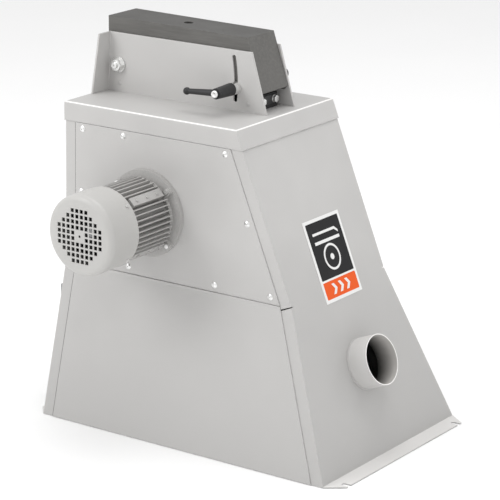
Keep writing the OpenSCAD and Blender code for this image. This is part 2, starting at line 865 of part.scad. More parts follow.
// Spoked wheel: hub, web with round holes and rim
module drum_core() {
    hub = 56;
    rim = 8;
    web = 12;
    color("silver") on_drum_axis() difference() {
        union() {
            translate([0, 0, -drum_w / 2 + 2]) cylinder(h = drum_w - 4, d = hub);
            translate([0, 0, -web / 2]) cylinder(h = web, d = core_d - rim);
            difference() {
                translate([0, 0, -drum_w / 2]) cylinder(h = drum_w, d = core_d);
                translate([0, 0, -drum_w / 2 - 1])
                    cylinder(h = drum_w + 2, d = core_d - 2 * rim);
            }
        }
        translate([0, 0, -drum_w]) cylinder(h = 2 * drum_w, d = shaft_d + 2 * fit);
    }
}

// Ring along the drum's axis, over the drum's width
module drum_ring(outer_d, inner_d) {
    on_drum_axis() difference() {
        translate([0, 0, -drum_w / 2]) cylinder(h = drum_w, d = outer_d, $fn = 96);
        translate([0, 0, -drum_w]) cylinder(h = 2 * drum_w, d = inner_d, $fn = 96);
    }
}

module drum_cushion() {
    color("dimgray") drum_ring(drum_d - 2 * sleeve_t, core_d + 2 * fit);
}

module abrasive_sleeve() {
    color("saddlebrown") drum_ring(drum_d, drum_d - 2 * sleeve_t + 2 * fit);
}

// Split clamping collar against the wheel's hub, on the pulley's side
module drum_collars() {
    color("silver") on_drum_axis()
        translate([0, 0, drum_w / 2 - 2]) difference() {
            cylinder(h = drum_clamp_t + 2, d = shaft_d + 18);
            translate([0, 0, -1]) cylinder(h = 20, d = shaft_d + 2 * fit);
            translate([shaft_d / 2 - 2, -1, -1]) cube([20, 2, 20]);
        }
}

// ---- belt drive ----

// V-belt pulley along Z, centred on z = 0, with its hub towards -Z
module pulley(pitch_d, bore_d) {
    rim_half = belt_w / 2 + 3;
    top = pitch_d / 2 + 3.5;
    floor_r = pitch_d / 2 - 7;
    half_top = belt_w / 2 + 0.6;
    half_floor = belt_w / 2 + 0.4;
    difference() {
        rotate_extrude() polygon([
            [0, -rim_half], [top, -rim_half], [top, -half_top],
            [floor_r, -half_floor], [floor_r, half_floor],
            [top, half_top], [top, rim_half], [0, rim_half]]);
        translate([0, 0, -far / 2]) cylinder(h = far, d = bore_d);
    }
}

module drum_pulley() {
    color("dimgray") translate([drum_at[0], belt_y, drum_at[1]]) rotate([90, 0, 0])
        pulley(drum_pulley_d, shaft_d + 2 * fit);
}

module motor_pulley() {
    color("dimgray") translate([motor_at[0], belt_y, motor_at[1]]) rotate([90, 0, 0])
        pulley(motor_pulley_d, motor_shaft_d + 2 * fit);
}

// Points along an arc about a centre
function arc_points(centre, r, a0, a1) =
    [for (i = [0:32]) let (a = a0 + (a1 - a0) * i / 32) centre + r * [cos(a), sin(a)]];

// Outline of the belt's loop, grown by out, about the two pulleys
module belt_loop(out) {
    r1 = motor_pulley_d / 2 + out;
    r2 = drum_pulley_d / 2 + out;
    line = drum_at - motor_at;
    heading = atan2(line[1], line[0]);
    spread = acos((r1 - r2) / norm(line));
    polygon(concat(
        arc_points(drum_at, r2, heading - spread, heading + spread),
        arc_points(motor_at, r1, heading + spread, heading + 360 - spread)));
}

module v_belt() {
    color("black") along_y(belt_y - belt_w / 2, belt_y + belt_w / 2) difference() {
        belt_loop(2);
        belt_loop(2 - belt_t);
    }
}

// ---- hood ----

// Places children in the hood's frame: pivot at the origin, tilted to its rest
module in_hood() {
    translate([pivot_at[0], head_y, pivot_at[1]]) rotate([0, -hood_rest, 0]) children();
}

hood_half = channel_w / 2 - hood_gap;
stud_at = [clamp_r, -clamp_drop];

module hood() {
    nose = [hood_reach, hood_up];
    toe = [hood_reach + hood_slant, 8 - hood_down];
    slope = (toe[0] - nose[0]) / (nose[1] - toe[1]);
    wall = hood_t * sqrt(1 + slope * slope);
    inner_up = hood_up - hood_t;
    color("dimgray") in_hood() difference() {
        along_y(-hood_half, hood_half) polygon([
            [-hood_tail, hood_up], nose, toe, toe - [8, 8], [-hood_tail, -hood_down]]);
        along_y(hood_t - hood_half, hood_half - hood_t) polygon([
            [-hood_tail - 1, inner_up],
            [nose[0] - wall + slope * hood_t, inner_up],
            [toe[0] - wall + slope * 20, toe[1] - 20],
            [-hood_tail - 1, toe[1] - 20]]);
        rod_y([0, 0], -far, far, pivot_d + 2 * fit);
        rod_y(stud_at, -far, far, stud_d + 2 * fit);
        translate([135.5, 0, hood_up - 10]) cylinder(h = 20, d = hood_hole_d);
        translate([230, -16, hood_up - 10]) cylinder(h = 20, d = 4);
    }
}

pivot_washer_t = 3;
pivot_nut_h = 10;

module pivot_rod() {
    reach = cheek_out + pivot_washer_t + pivot_nut_h + 4;
    color("silver") in_head() difference() {
        rod_y(pivot_at, -reach, reach, pivot_d);
        for (s = [-1, 1]) translate([pivot_at[0], s * reach, pivot_at[1]])
            rotate([90, 0, 0]) translate([0, 0, -3]) cylinder(h = 6, d = 3.5);
    }
}

module pivot_washers() {
    color("silver") in_head() for (m = [0, 1]) mirror([0, m, 0]) difference() {
        rod_y(pivot_at, -cheek_out - pivot_washer_t, -cheek_out, 32);
        rod_y(pivot_at, -far, far, pivot_d + 2 * fit);
    }
}

module pivot_nuts() {
    seat = cheek_out + pivot_washer_t;
    color("silver") in_head() for (m = [0, 1]) mirror([0, m, 0]) difference() {
        intersection() {
            translate([pivot_at[0], -seat, pivot_at[1]]) rotate([90, 0, 0])
                cylinder(h = pivot_nut_h, d = 26, $fn = 6);
            translate([pivot_at[0], -seat - pivot_nut_h, pivot_at[1]])
                rotate([-90, 0, 0]) cylinder(h = 16, r1 = 11.2, r2 = 27.2);
        }
        rod_y(pivot_at, -far, far, pivot_d + 2 * fit);
    }
}

// Nuts on the hood's inner faces that the clamp studs screw into
module clamp_nuts() {
    color("silver") in_hood() for (m = [0, 1]) mirror([0, m, 0]) difference() {
        translate([stud_at[0], hood_t - hood_half, stud_at[1]]) rotate([-90, 0, 0])
            cylinder(h = 6.5, d = stud_d + 7, $fn = 6);
        rod_y(stud_at, -far, far, stud_d + 2 * fit);
    }
}

spacer_gap = 0.1;

module clamp_spacers() {
    seat = cheek_out + spacer_gap;
    color("silver") in_hood() for (m = [0, 1]) mirror([0, m, 0]) difference() {
        rod_y(stud_at, -seat - spacer_l, -seat, spacer_d);
        rod_y(stud_at, -far, far, stud_d + 2 * fit);
    }
}

hub_seat = cheek_out + spacer_gap + spacer_l + 0.1;
insert_d = stud_d + 4;

// Clamp stud with its toothed head and retaining screw, for the front
module clamp_stud() {
    rod_y(stud_at, -hub_seat - hub_l + 8, -hood_half + 9, stud_d);
    rod_y(stud_at, -hub_seat - 14, -hub_seat, insert_d);
}

module front_clamp_stud() {
    color("silver") in_hood() clamp_stud();
}

module rear_clamp_stud() {
    color("silver") in_hood() mirror([0, 1, 0]) clamp_stud();
}

// Lift-and-turn handle for the front, with its arm to the left
module clamp_handle() {
    foot = -hub_seat;
    tip = foot - hub_l;
    lift = 4;
    difference() {
        union() {
            translate([stud_at[0], foot, stud_at[1]]) rotate([90, 0, 0])
                cylinder(h = hub_l - 3, d1 = hub_d, d2 = hub_d - 4);
            rod_y(stud_at, tip, foot - hub_l + 5, hub_d - 9);
            translate([stud_at[0], tip + 11, stud_at[1]]) rotate([0, -95, 0]) {
                cylinder(h = arm_l, d1 = 14, d2 = 10);
                translate([0, 0, arm_l]) sphere(d = 14.5);
            }
        }
        rod_y(stud_at, foot - 14 - lift, foot + 1, insert_d + 2 * fit);
        rod_y(stud_at, foot - hub_l + 8 - lift, foot + 1, stud_d + 2 * fit);
    }
}

module front_clamp_handle() {
    color("black") in_hood() clamp_handle();
}

module rear_clamp_handle() {
    color("black") in_hood() mirror([0, 1, 0]) clamp_handle();
}

// ---- motor ----

// Places children on the motor's axis, Z to the front, z = 0 at the panel's face
module on_motor_axis() {
    translate([motor_at[0], panel_y, motor_at[1]]) rotate([90, 0, 0]) children();
}

lug_angles = [lug_a, 180 - lug_a, 180 + lug_a, -lug_a];

module motor_shield() {
    color("gainsboro") on_motor_axis() difference() {
        union() {
            cylinder(h = flange_t, d = flange_d);
            translate([0, 0, -3.5]) cylinder(h = 4, d = spigot_d);
            cylinder(h = frame_z0, d = frame_d + 14);
            for (a = lug_angles) rotate(a) {
                translate([lug_r, 0, 0]) cylinder(h = frame_z0, d = 13);
                translate([frame_d / 2, -6.5, 0]) cube([lug_r - frame_d / 2, 13, frame_z0]);
            }
        }
        translate([0, 0, -10]) cylinder(h = far, d = motor_shaft_d + 2);
        translate([0, 0, frame_z0 - motor_bearing_w - 2])
            cylinder(h = far, d = motor_bearing_d + 2 * fit);
        for (a = [45:90:315]) rotate(a) translate([flange_pcd / 2, 0, -1])
            cylinder(h = 16, d = 8 + 2 * hole_gap);
        for (a = lug_angles) rotate(a) translate([lug_r, 0, 8])
            cylinder(h = far, d = 5 + 2 * hole_gap);
    }
}

// True where a fin stands free of the foot pads and the terminal box
function fin_stands(a) =
    let (side = abs(a > 180 ? a - 360 : a))
    abs(side - pad_a) > 8 && abs(side - 180 + pad_a) > 8 && side < 155;

module motor_frame() {
    frame_l = cover_z0 - frame_z0 + 4;
    pad_r = fins_d / 2;
    color("gainsboro") on_motor_axis() difference() {
        translate([0, 0, frame_z0]) union() {
            cylinder(h = frame_l, d = frame_d);
            for (i = [0:fin_count - 1]) let (a = i * 360 / fin_count)
                if (fin_stands(a)) rotate(a) translate([frame_d / 2 - 2, -fin_t / 2, 2])
                    cube([(fins_d - frame_d) / 2 + 2, fin_t, frame_l - 8]);
            for (a = [pad_a, 180 - pad_a, pad_a - 180, -pad_a]) rotate(a) {
                translate([frame_d / 2 - 4, -9, 6]) cube([pad_r - frame_d / 2 + 4, 18, 92]);
                for (z = [22, 52, 82]) translate([pad_r - 2, 0, z])
                    rotate([0, 90, 0]) cylinder(h = 4, d = 7);
            }
            translate([-terminal_x, 3 - terminal_w / 2, terminal_z0 - frame_z0])
                cube([terminal_x - frame_d / 2 + 8, terminal_w - 6, terminal_l - 6]);
        }
        translate([0, 0, frame_z0 - 1]) cylinder(h = far, d = stator_d + 2 * fit);
    }
}

// Shield behind the finned frame, with the frame's rear bearing
module motor_rear_shield() {
    color("silver") on_motor_axis() translate([0, 0, rear_shield_z]) difference() {
        union() {
            cylinder(h = rear_shield_t, d = cover_d - 2 * cover_t - 9);
            for (a = lug_angles) rotate(a) translate([cover_d / 2 - 10, -5, 0])
                cube([10 - cover_t - gap, 10, rear_shield_t]);
        }
        translate([0, 0, -1]) cylinder(h = motor_bearing_w, d = motor_bearing_d + 2 * fit);
        translate([0, 0, -1]) cylinder(h = far, d = motor_shaft_d + 2);
        for (a = lug_angles) rotate(a) translate([cover_d / 2 - 12, 0, rear_shield_t / 2])
            rotate([0, 90, 0]) cylinder(h = 20, d = 4.2 + 2 * hole_gap);
    }
}

module motor_stator() {
    color("orangered") on_motor_axis() difference() {
        union() {
            translate([0, 0, core_z - core_l / 2]) cylinder(h = core_l, d = stator_d);
            translate([0, 0, core_z - core_l / 2 - 14])
                cylinder(h = core_l + 28, d = stator_d - 14);
        }
        translate([0, 0, frame_z0 - 20]) cylinder(h = far, d = rotor_d + 1.2);
    }
}

module motor_bearings() {
    color("silver") on_motor_axis() {
        translate([0, 0, frame_z0 - motor_bearing_w - 2])
            ball_bearing(motor_bearing_d, motor_shaft_d + 2 * fit, motor_bearing_w);
        translate([0, 0, rear_shield_z - 1])
            ball_bearing(motor_bearing_d, motor_shaft_d + 2 * fit, motor_bearing_w);
    }
}

fan_z = rear_shield_z + rear_shield_t + 4;
shaft_out = belt_in + sheet_t + 12;  // motor shaft behind the panel's face

module rotor_shaft() {
    color("silver") on_motor_axis()
        translate([0, 0, -shaft_out])
            cylinder(h = fan_z + 26 + shaft_out, d = motor_shaft_d);
}

module rotor_core() {
    color("slategray") on_motor_axis() difference() {
        translate([0, 0, core_z - core_l / 2]) cylinder(h = core_l, d = rotor_d);
        translate([0, 0, 0]) cylinder(h = far, d = motor_shaft_d + 2 * fit);
    }
}

module motor_fan() {
    blade_count = 8;
    color("dimgray") on_motor_axis() translate([0, 0, fan_z]) difference() {
        union() {
            cylinder(h = 3, d = cover_d - 24);
            cylinder(h = 22, d = motor_shaft_d + 14);
            for (i = [0:blade_count - 1]) rotate(i * 360 / blade_count)
                translate([motor_shaft_d / 2 + 4, -1, 0])
                    cube([cover_d / 2 - 14 - motor_shaft_d / 2 - 4, 2, 24]);
        }
        translate([0, 0, -1]) cylinder(h = 40, d = motor_shaft_d + 2 * fit);
    }
}

// Square holes in the fan cover's end: an octagon of rows around a closed middle
module fan_grid() {
    rows = 10;
    reach = 6.1;
    for (i = [0:rows - 1], j = [0:rows - 1])
        let (x = i - (rows - 1) / 2, y = j - (rows - 1) / 2)
        if (abs(x) + abs(y) < reach && norm([x, y]) > 1)
            translate([x * grid_pitch - grid_hole / 2, y * grid_pitch - grid_hole / 2])
                square(grid_hole);
}

module fan_cover() {
    r = cover_d / 2;
    bend = 13;
    color("gainsboro") on_motor_axis() difference() {
        translate([0, 0, cover_z0]) rotate_extrude() polygon(concat(
            [[r - cover_t, 0], [r, 0]],
            [for (i = [0:6]) let (a = 90 * i / 6)
                [r - bend + bend * cos(a), cover_l - bend + bend * sin(a)]],
            [[0, cover_l], [0, cover_l - cover_t]],
            [for (i = [6:-1:0]) let (a = 90 * i / 6, b = bend - cover_t)
                [r - bend + b * cos(a), cover_l - bend + b * sin(a)]]));
        translate([0, 0, motor_l - cover_t - 1]) linear_extrude(cover_t + 2) fan_grid();
        translate([0, 0, motor_l - 5]) cylinder(h = 10, d = 5);
        for (a = lug_angles) rotate(a)
            translate([r - 6, 0, rear_shield_z + rear_shield_t / 2])
                rotate([0, 90, 0]) cylinder(h = 10, d = 4.2 + 2 * hole_gap);
    }
}

module motor_bolts() {
    color("silver") on_motor_axis() for (a = [45:90:315]) rotate(a)
        translate([flange_pcd / 2, 0, 0]) {
            translate([0, 0, -sheet_t - 5.3]) cylinder(h = 5.3, d = 15, $fn = 6);
            translate([0, 0, -sheet_t - 1]) cylinder(h = 15, d = 8);
        }
}

// Screws in the drive shield's lugs and around the fan cover
module motor_case_screws() {
    color("silver") on_motor_axis() for (a = lug_angles) rotate(a) {
        translate([lug_r, 0, frame_z0]) cylinder(h = 4, d = 9);
        translate([lug_r, 0, 10]) cylinder(h = frame_z0 - 9, d = 5);
        translate([0, 0, rear_shield_z + rear_shield_t / 2]) rotate([0, 90, 0]) {
            translate([0, 0, cover_d / 2]) cylinder(h = 2.6, d = 8);
            translate([0, 0, cover_d / 2 - 9]) cylinder(h = 10, d = 4.2);
        }
    }
}

// Places children at the terminal box: outward along their X from its seat
module on_terminal() {
    on_motor_axis() mirror([1, 0, 0]) translate([terminal_x, 0, terminal_z0]) children();
}

module terminal_box() {
    wall = 3;
    color("gainsboro") on_terminal() difference() {
        translate([0, -terminal_w / 2, 0]) cube([terminal_up - 8, terminal_w, terminal_l]);
        translate([wall, -terminal_w / 2 + wall, wall])
            cube([terminal_up, terminal_w - 2 * wall, terminal_l - 2 * wall]);
        gland_hole();
    }
}

module gland_hole() {
    translate([terminal_gland_out, 10 - terminal_w / 2, terminal_l - 16])
        rotate([90, 0, 0]) cylinder(h = 20, d = 16 + 2 * hole_gap);
}

module terminal_lid() {
    color("gainsboro") on_terminal()
        translate([terminal_up - 8, -terminal_w / 2 - 1, -1])
            difference() {
                cube([8, terminal_w + 2, terminal_l + 2]);
                translate([-1, 4, 4]) cube([6, terminal_w - 6, terminal_l - 6]);
                for (y = [3, terminal_w - 1], z = [3, terminal_l - 1])
                    translate([6.5, y, z]) rotate([0, 90, 0]) cylinder(h = 5, d = 3);
            }
}

// Cable gland along +Z from a wall's face: thread, hexagon and domed nut
module gland() {
    translate([0, 0, -8]) cylinder(h = 9, d = 16);
    cylinder(h = 6, d = gland_d + 2, $fn = 6);
    translate([0, 0, 5.5]) cylinder(h = gland_l - 13, d = gland_d - 1);
    translate([0, 0, gland_l - 8]) difference() {
        cylinder(h = 8, d1 = gland_d - 1, d2 = gland_d - 8);
        translate([0, 0, 2]) cylinder(h = 10, d = 9);
    }
}

module cable_glands() {
    color("black") {
        on_terminal() translate([terminal_gland_out, -terminal_w / 2, terminal_l - 16])
            rotate([90, 0, 0]) gland();
        on_left(switch_at_y, switch_z)
            translate([-switch_gland_down, -switch_w / 2, switch_gland_out])
                rotate([90, 0, 0]) gland();
    }
}

// ---- switch ----

module switch_box() {
    wall = 3;
    color("slategray") on_left(switch_at_y, switch_z) difference() {
        union() {
            translate([-switch_h / 2, -switch_w / 2, 0]) cube([switch_h, switch_w, switch_d]);
            for (s = [-1, 1]) translate([s * button_step / 2, 0, switch_d - 1])
                cylinder(h = 4, d = button_d + 8);
        }
        translate([wall - switch_h / 2, wall - switch_w / 2, wall])
            cube([switch_h - 2 * wall, switch_w - 2 * wall, switch_d - 2 * wall]);
        for (s = [-1, 1]) {
            translate([s * button_step / 2, 0, 10])
                cylinder(h = switch_d, d = button_d + 2 * gap);
            translate([s * 50, 0, -1]) cylinder(h = 10, d = 5.4);
        }
        translate([-switch_gland_down, 5 - switch_w / 2, switch_gland_out])
            rotate([90, 0, 0]) cylinder(h = 20, d = 16 + 2 * hole_gap);
    }
}

// Push button with a collar that keeps it in the box
module push_button(side, dome) {
    top = switch_d + 3 + button_travel;
    on_left(switch_at_y, switch_z) translate([side * button_step / 2, 0, 0]) {
        translate([0, 0, switch_d - 16]) cylinder(h = top - switch_d + 16, d = button_d);
        translate([0, 0, switch_d - 16]) cylinder(h = 6, d = button_d + 8);
        translate([0, 0, top - 1]) cylinder(h = 1 + dome, d1 = button_d, d2 = button_d - 5);
    }
}

module start_button() {
    color("green") push_button(1, 1);
}

module stop_button() {
    color("red") push_button(-1, 3);
}

// ---- output ----

left_side();
right_side();
front_lower_panel();
rear_lower_panel();
motor_panel();
rear_upper_panel();
front_rail();
rear_rail();
top_cap();
floor_pan();
suction_nozzle();
label_plate();
panel_screws();
front_cheek();
rear_cheek();
head_brackets();
bracket_bolts();
rubber_flap();
flap_strip();
flap_screws();
bearing_housings();
drum_bearings();
housing_bolts();
drum_shaft();
drum_core();
drum_cushion();
abrasive_sleeve();
drum_collars();
drum_pulley();
motor_pulley();
v_belt();
hood();
pivot_rod();
pivot_washers();
pivot_nuts();
clamp_nuts();
clamp_spacers();
front_clamp_stud();
front_clamp_handle();
rear_clamp_stud();
rear_clamp_handle();
motor_shield();
motor_frame();
motor_rear_shield();
motor_stator();
motor_bearings();
rotor_shaft();
rotor_core();
motor_fan();
fan_cover();
motor_bolts();
motor_case_screws();
terminal_box();
terminal_lid();
cable_glands();
switch_box();
start_button();
stop_button();
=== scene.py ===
"""Looks for the drum sander: materials on the CAD nodes, printed and welded details, studio.

Everything is in metres, in the CAD frame: +X towards the slanted side, -Y the motor side, +Z up.
"""

import json
import math

import bmesh
import bpy
from mathutils import Matrix, Vector, noise


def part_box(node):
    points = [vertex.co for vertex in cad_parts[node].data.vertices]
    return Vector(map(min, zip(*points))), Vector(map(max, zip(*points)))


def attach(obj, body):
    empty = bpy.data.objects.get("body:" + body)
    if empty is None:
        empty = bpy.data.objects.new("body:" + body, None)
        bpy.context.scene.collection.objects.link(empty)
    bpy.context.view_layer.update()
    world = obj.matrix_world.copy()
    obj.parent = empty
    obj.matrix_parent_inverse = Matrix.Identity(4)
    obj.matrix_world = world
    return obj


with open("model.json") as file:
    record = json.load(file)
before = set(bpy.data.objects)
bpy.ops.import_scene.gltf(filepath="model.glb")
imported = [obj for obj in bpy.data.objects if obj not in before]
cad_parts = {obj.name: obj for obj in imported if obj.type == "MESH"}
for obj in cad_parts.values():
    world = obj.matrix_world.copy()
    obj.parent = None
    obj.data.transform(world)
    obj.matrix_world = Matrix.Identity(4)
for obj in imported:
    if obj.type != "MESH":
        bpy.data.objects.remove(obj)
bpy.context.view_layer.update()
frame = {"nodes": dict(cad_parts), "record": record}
nodes = frame["nodes"]

# ---- camera ----

SENSOR_MM, LENS_MM = 36.0, 174.106
CAMERA_AT = (2.6405, -3.6806, 1.7068)
LOOK_DOWN, LOOK_TURN = math.radians(16.747), math.radians(35.601)

camera_data = bpy.data.cameras.new("view_camera")
camera_data.sensor_width = SENSOR_MM
camera_data.lens = LENS_MM
camera_data.clip_start = 0.1
camera_data.clip_end = 60.0
camera = bpy.data.objects.new("view_camera", camera_data)
camera.location = CAMERA_AT
camera.rotation_euler = (math.radians(90) - LOOK_DOWN, 0.0, LOOK_TURN)
bpy.context.scene.collection.objects.link(camera)
bpy.context.scene.camera = camera

# ---- sizes shared with the CAD source ----

BODY_H = 0.630
RIGHT_LEAN = 0.251
BASE_W = 0.674
RIGHT_ANGLE = math.atan(RIGHT_LEAN / BODY_H)
RIGHT_OUT = Vector((math.cos(RIGHT_ANGLE), 0.0, math.sin(RIGHT_ANGLE)))
RIGHT_UP = Vector((-math.sin(RIGHT_ANGLE), 0.0, math.cos(RIGHT_ANGLE)))
LEFT_LEAN = 0.016
LEFT_ANGLE = math.atan(LEFT_LEAN / BODY_H)
LEFT_OUT = Vector((-math.cos(LEFT_ANGLE), 0.0, math.sin(LEFT_ANGLE)))
DEPTH = 0.318
FLARE = 0.073
KINK_H = 0.308
STRIP_W = 0.026
SPIGOT_Y, SPIGOT_Z = 0.003, 0.164


def right_face(y, z):
    """Point on the slanted side's outer face."""
    return Vector((BASE_W / 2 - RIGHT_LEAN * z / BODY_H, y, z))


def left_seam(z):
    """Foot of a front panel's left edge, on the bent edge that it covers."""
    flare = FLARE * max(0.0, (KINK_H - z) / KINK_H)
    return Vector((-BASE_W / 2 + LEFT_LEAN * z / BODY_H + STRIP_W, -DEPTH / 2 - flare, z))


# ---- materials ----


class Nodes:
    """A material's node tree, with short calls for the nodes that every finish here uses."""

    def __init__(self, name):
        self.material = bpy.data.materials.new(name)
        self.material.use_nodes = True
        self.tree = self.material.node_tree
        self.tree.nodes.clear()
        out = self.add("ShaderNodeOutputMaterial")
        self.shader = self.add("ShaderNodeBsdfPrincipled")
        self.link(self.shader.outputs["BSDF"], out.inputs["Surface"])
        self.coords = self.add("ShaderNodeTexCoord").outputs["Object"]

    def add(self, kind, **settings):
        node = self.tree.nodes.new(kind)
        for key, value in settings.items():
            setattr(node, key, value)
        return node

    def link(self, a, b):
        self.tree.links.new(a, b)

    def z_of(self, vector):
        split = self.add("ShaderNodeSeparateXYZ")
        self.link(vector, split.inputs["Vector"])
        return split.outputs["Z"]

    def vector(self, how, a, b=None):
        """Vector maths node; b is a constant or another vector output."""
        node = self.add("ShaderNodeVectorMath", operation=how)
        self.link(a, node.inputs[0])
        if isinstance(b, Vector):
            node.inputs[1].default_value = b
        elif b is not None:
            self.link(b, node.inputs[1])
        return node.outputs["Value" if how in ("DOT_PRODUCT", "LENGTH") else "Vector"]

    def surface_normal(self):
        return self.add("ShaderNodeNewGeometry").outputs["Normal"]

    def noise(self, scale, detail=3.0, rough=0.55, stretch=(1, 1, 1)):
        place = self.add("ShaderNodeMapping")
        place.inputs["Scale"].default_value = stretch
        self.link(self.coords, place.inputs["Vector"])
        texture = self.add("ShaderNodeTexNoise")
        texture.inputs["Scale"].default_value = scale
        texture.inputs["Detail"].default_value = detail
        texture.inputs["Roughness"].default_value = rough
        self.link(place.outputs["Vector"], texture.inputs["Vector"])
        return texture.outputs["Fac"]

    def ramp(self, fac, stops):
        ramp = self.add("ShaderNodeValToRGB")
        self.link(fac, ramp.inputs["Fac"])
        elements = ramp.color_ramp.elements
        while len(elements) < len(stops):
            elements.new(0.5)
        for element, (at, colour) in zip(elements, stops):
            element.position = at
            element.color = (*colour, 1.0)
        return ramp.outputs["Color"]

    def span(self, fac, low, high, low_in=0.3, high_in=0.7):
        node = self.add("ShaderNodeMapRange")
        node.inputs["From Min"].default_value = low_in
        node.inputs["From Max"].default_value = high_in
        node.inputs["To Min"].default_value = low
        node.inputs["To Max"].default_value = high
        self.link(fac, node.inputs["Value"])
        return node.outputs["Result"]

    def mix(self, fac, a, b):
        node = self.add("ShaderNodeMix", data_type="RGBA")
        self.link(fac, node.inputs["Factor"])
        for value, socket in ((a, node.inputs[6]), (b, node.inputs[7])):
            if isinstance(value, tuple):
                socket.default_value = (*value, 1.0)
            else:
                self.link(value, socket)
        return node.outputs[2]

    def math(self, how, a, b=0.0):
        node = self.add("ShaderNodeMath", operation=how)
        for value, socket in ((a, node.inputs[0]), (b, node.inputs[1])):
            if isinstance(value, (int, float)):
                socket.default_value = value
            else:
                self.link(value, socket)
        return node.outputs["Value"]

    def soft_edges(self, radius):
        """Normal rounded at the edges."""
        bevel = self.add("ShaderNodeBevel", samples=6)
        bevel.inputs["Radius"].default_value = radius
        return bevel.outputs["Normal"]

    def edge_mask(self, rounded_normal):
        """1 where the rounded normal leaves the flat one, which is on the edges."""
        return self.span(self.vector("DOT_PRODUCT", rounded_normal, self.surface_normal()),
                         1.0, 0.0, 0.78, 0.995)

    def bump(self, height, distance, strength, normal=None):
        node = self.add("ShaderNodeBump")
        node.inputs["Distance"].default_value = distance
        node.inputs["Strength"].default_value = strength
        self.link(height, node.inputs["Height"])
        if normal is not None:
            self.link(normal, node.inputs["Normal"])
        self.link(node.outputs["Normal"], self.shader.inputs["Normal"])

    def set(self, **values):
        names = {"metal": "Metallic", "spec": "Specular IOR Level", "coat": "Coat Weight",
                 "coat_rough": "Coat Roughness"}
        for key, value in values.items():
            self.shader.inputs[names[key]].default_value = value

    def colour(self, output):
        self.link(output, self.shader.inputs["Base Color"])

    def rough(self, output):
        self.link(output, self.shader.inputs["Roughness"])


def tone(colour, by):
    return tuple(min(1.0, c * by) for c in colour)


# Painted shade: colour darkens towards the floor below this height.
FOOT_SHADE_H = 0.42
# Painted light: the low flat flange is lightened by this tone, where the cabinet body keeps light off
# it.
FLANGE_LIGHT_TONE = 1.3


def powder_coat(name, colour, texture=1400.0, rough=(0.42, 0.58), edge_wear_and_highlight=(0.0, 0.35), round_r=0.0009,
                pit=0.00012, spread=0.05, edge_tone=1.35, streaks=0.0, bend_highlight_tone=1.0, top_shade_tone=1.0,
                foot_shade_tone=1.0):
    """Baked powder coat: orange peel, a slow drift in colour, edges lightened by wear and a painted
    highlight.

    streaks is how far scratches along X show. The tones paint light and shade: a painted highlight on
    bends, painted shade on flat tops with painted light on the low flange, and painted shade towards
    the floor.
    """
    m = Nodes(name)
    drift = m.ramp(m.noise(5.0, 2.0), [(0.3, tone(colour, 1 - spread)),
                                       (0.7, tone(colour, 1 + spread))])
    speck = m.span(m.noise(2600.0, 1.0), 0.0, 1.0, 0.60, 0.72)
    body = m.mix(m.math("MULTIPLY", speck, 0.18), drift, tone(colour, 0.72))
    if streaks:
        m.set(spec=0.18)
        lines = m.span(m.noise(140.0, 3.0, 0.6, (0.12, 1.6, 1.6)), 0.0, streaks, 0.42, 0.66)
        body = m.mix(lines, body, tone(colour, 1.5))
    normal = m.soft_edges(round_r)
    upward, height = m.z_of(m.surface_normal()), m.z_of(m.coords)
    # Painted shade: darker towards the floor.
    if foot_shade_tone != 1.0:
        body = m.mix(m.span(height, 1.0, 0.0, 0.0, FOOT_SHADE_H), body, tone(colour, foot_shade_tone))
    # Painted shade on up-facing faces, with painted light on the low flange.
    if top_shade_tone != 1.0:
        flat = m.mix(m.span(height, 0.0, 1.0, 0.1, 0.4), tone(colour, FLANGE_LIGHT_TONE),
                     tone(colour, top_shade_tone))
        body = m.mix(m.span(upward, 0.0, 1.0, 0.93, 0.98), body, flat)
    # Painted highlight on faces that slope between upright and flat, which are the bends.
    if bend_highlight_tone != 1.0:
        highlit_bends = m.math("MULTIPLY", m.span(upward, 0.0, 1.0, 0.42, 0.55),
                      m.span(upward, 1.0, 0.0, 0.90, 0.99))
        body = m.mix(highlit_bends, body, tone(colour, bend_highlight_tone))
    # Edges lightened: partly wear, partly a painted highlight on edges and bends.
    worn_and_lit_edges = m.math("MULTIPLY", m.edge_mask(normal), m.span(m.noise(60.0, 5.0), *edge_wear_and_highlight, 0.42, 0.62))
    m.colour(m.mix(worn_and_lit_edges, body, tone(colour, edge_tone)))
    m.rough(m.span(m.noise(9.0, 4.0), *rough))
    m.bump(m.noise(texture, 2.0), pit, 0.5, normal)
    return m.material


def turned_metal(name, colour, rough=(0.22, 0.42), scale=240.0, stretch=(1, 30, 1), metal=1.0,
                 tarnish=0.7):
    """Machined or plated metal: fine tool lines, duller patches."""
    m = Nodes(name)
    patch = m.noise(38.0, 4.0)
    m.colour(m.ramp(patch, [(0.3, tone(colour, tarnish)), (0.62, colour)]))
    lines = m.noise(scale, 2.0, 0.5, stretch)
    m.rough(m.span(m.math("ADD", m.math("MULTIPLY", lines, 0.5), m.math("MULTIPLY", patch, 0.5)),
                   *rough))
    m.bump(lines, 0.00005, 0.35, m.soft_edges(0.0005))
    m.set(metal=metal)
    return m.material


def moulded(name, colour, rough=(0.38, 0.55), grain=1900.0, pit=0.00008, spread=0.12, coat=0.0):
    """Injection-moulded plastic: fine spark-eroded grain, handling marks in the gloss."""
    m = Nodes(name)
    m.colour(m.ramp(m.noise(26.0, 3.0), [(0.3, tone(colour, 1 - spread)),
                                         (0.7, tone(colour, 1 + spread))]))
    m.rough(m.span(m.noise(14.0, 5.0), *rough))
    m.bump(m.noise(grain, 2.0), pit, 0.4, m.soft_edges(0.0008))
    m.set(coat=coat, coat_rough=0.12)
    return m.material


